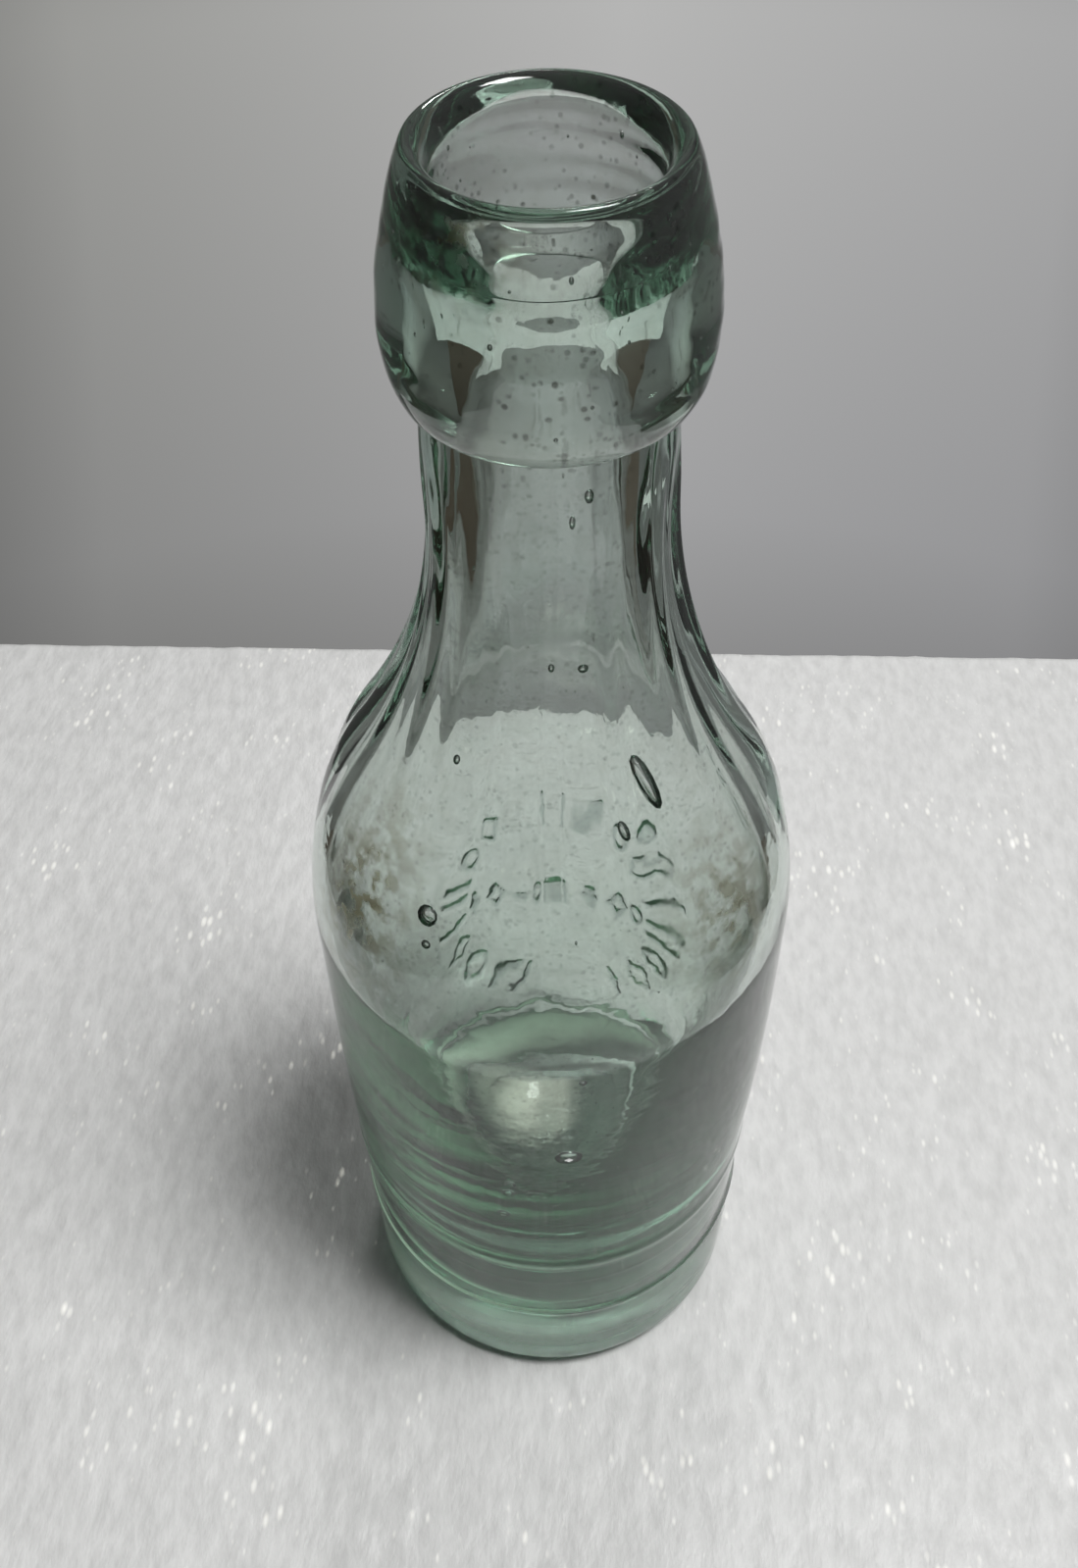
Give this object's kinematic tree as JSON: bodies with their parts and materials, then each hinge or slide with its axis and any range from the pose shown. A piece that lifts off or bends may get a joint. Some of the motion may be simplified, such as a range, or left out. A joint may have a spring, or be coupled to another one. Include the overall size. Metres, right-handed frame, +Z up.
{
  "type": "glass soda bottle",
  "caption": "Round mould-blown glass soda bottle with sloping shoulders, a short neck and a thick bulging applied lip; open and empty, stands on a flat ring round a hollowed base.",
  "frame": {"origin": "centre of the resting ring, on the surface that the bottle stands on", "axes": "+Z up along the bottle's axis to the mouth; -Y is the side that faces the viewer, +Y the side with the raised plate"},
  "size_m": [0.062, 0.062, 0.186],
  "materials": {
    "body_glass": "fire-polished pale aqua glass, wavy, with bubbles",
    "lip_glass": "hand-tooled aqua glass, glossy, darker where it is thick"
  },
  "bodies": {
    "root": {"blown_body": "body_glass", "applied_lip": "lip_glass"}
  },
  "joints": []
}
